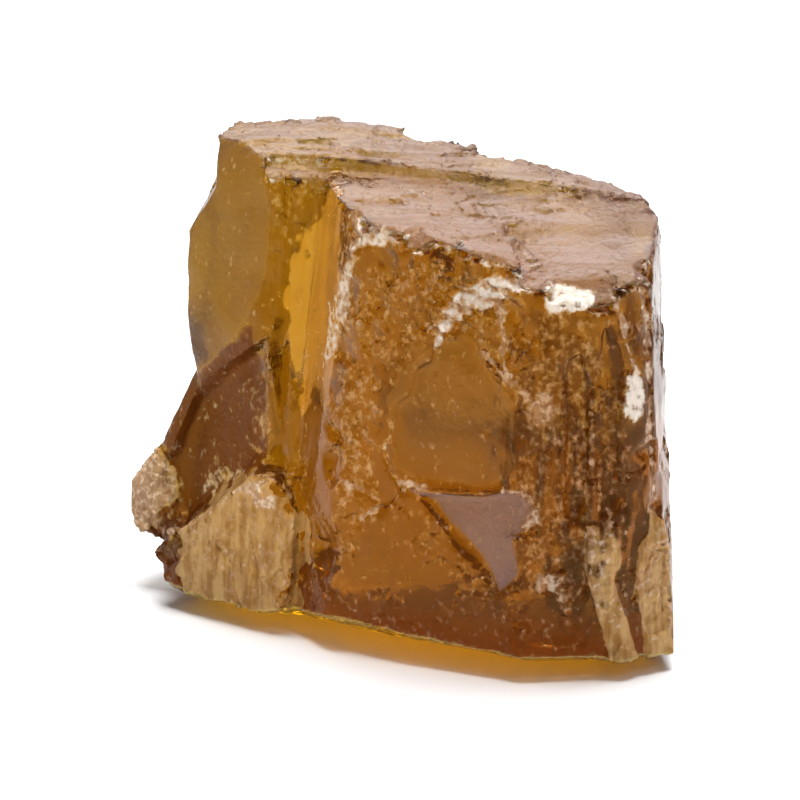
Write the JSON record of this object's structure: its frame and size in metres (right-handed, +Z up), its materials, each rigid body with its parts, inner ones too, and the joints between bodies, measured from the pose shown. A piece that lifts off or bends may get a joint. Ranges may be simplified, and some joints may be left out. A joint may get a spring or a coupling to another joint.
{
  "type": "raw fluorite chunk",
  "caption": "Broken chunk of honey-amber fluorite with cleavage steps, a rough frosted top and a flat face to rest on.",
  "frame": {"origin": "centre of the bounding box, on the flat resting face", "axes": "+Z up from the resting face, the broad stepped front faces -Y, +X to the right seen from the front"},
  "size_m": [0.042, 0.0324, 0.0372],
  "materials": {
    "fluorite": "see-through honey-amber fluorite: glassy cleavage faces, frosted pinkish-white edges and top"
  },
  "bodies": {
    "root": {"fluorite_chunk": "fluorite"}
  },
  "joints": []
}
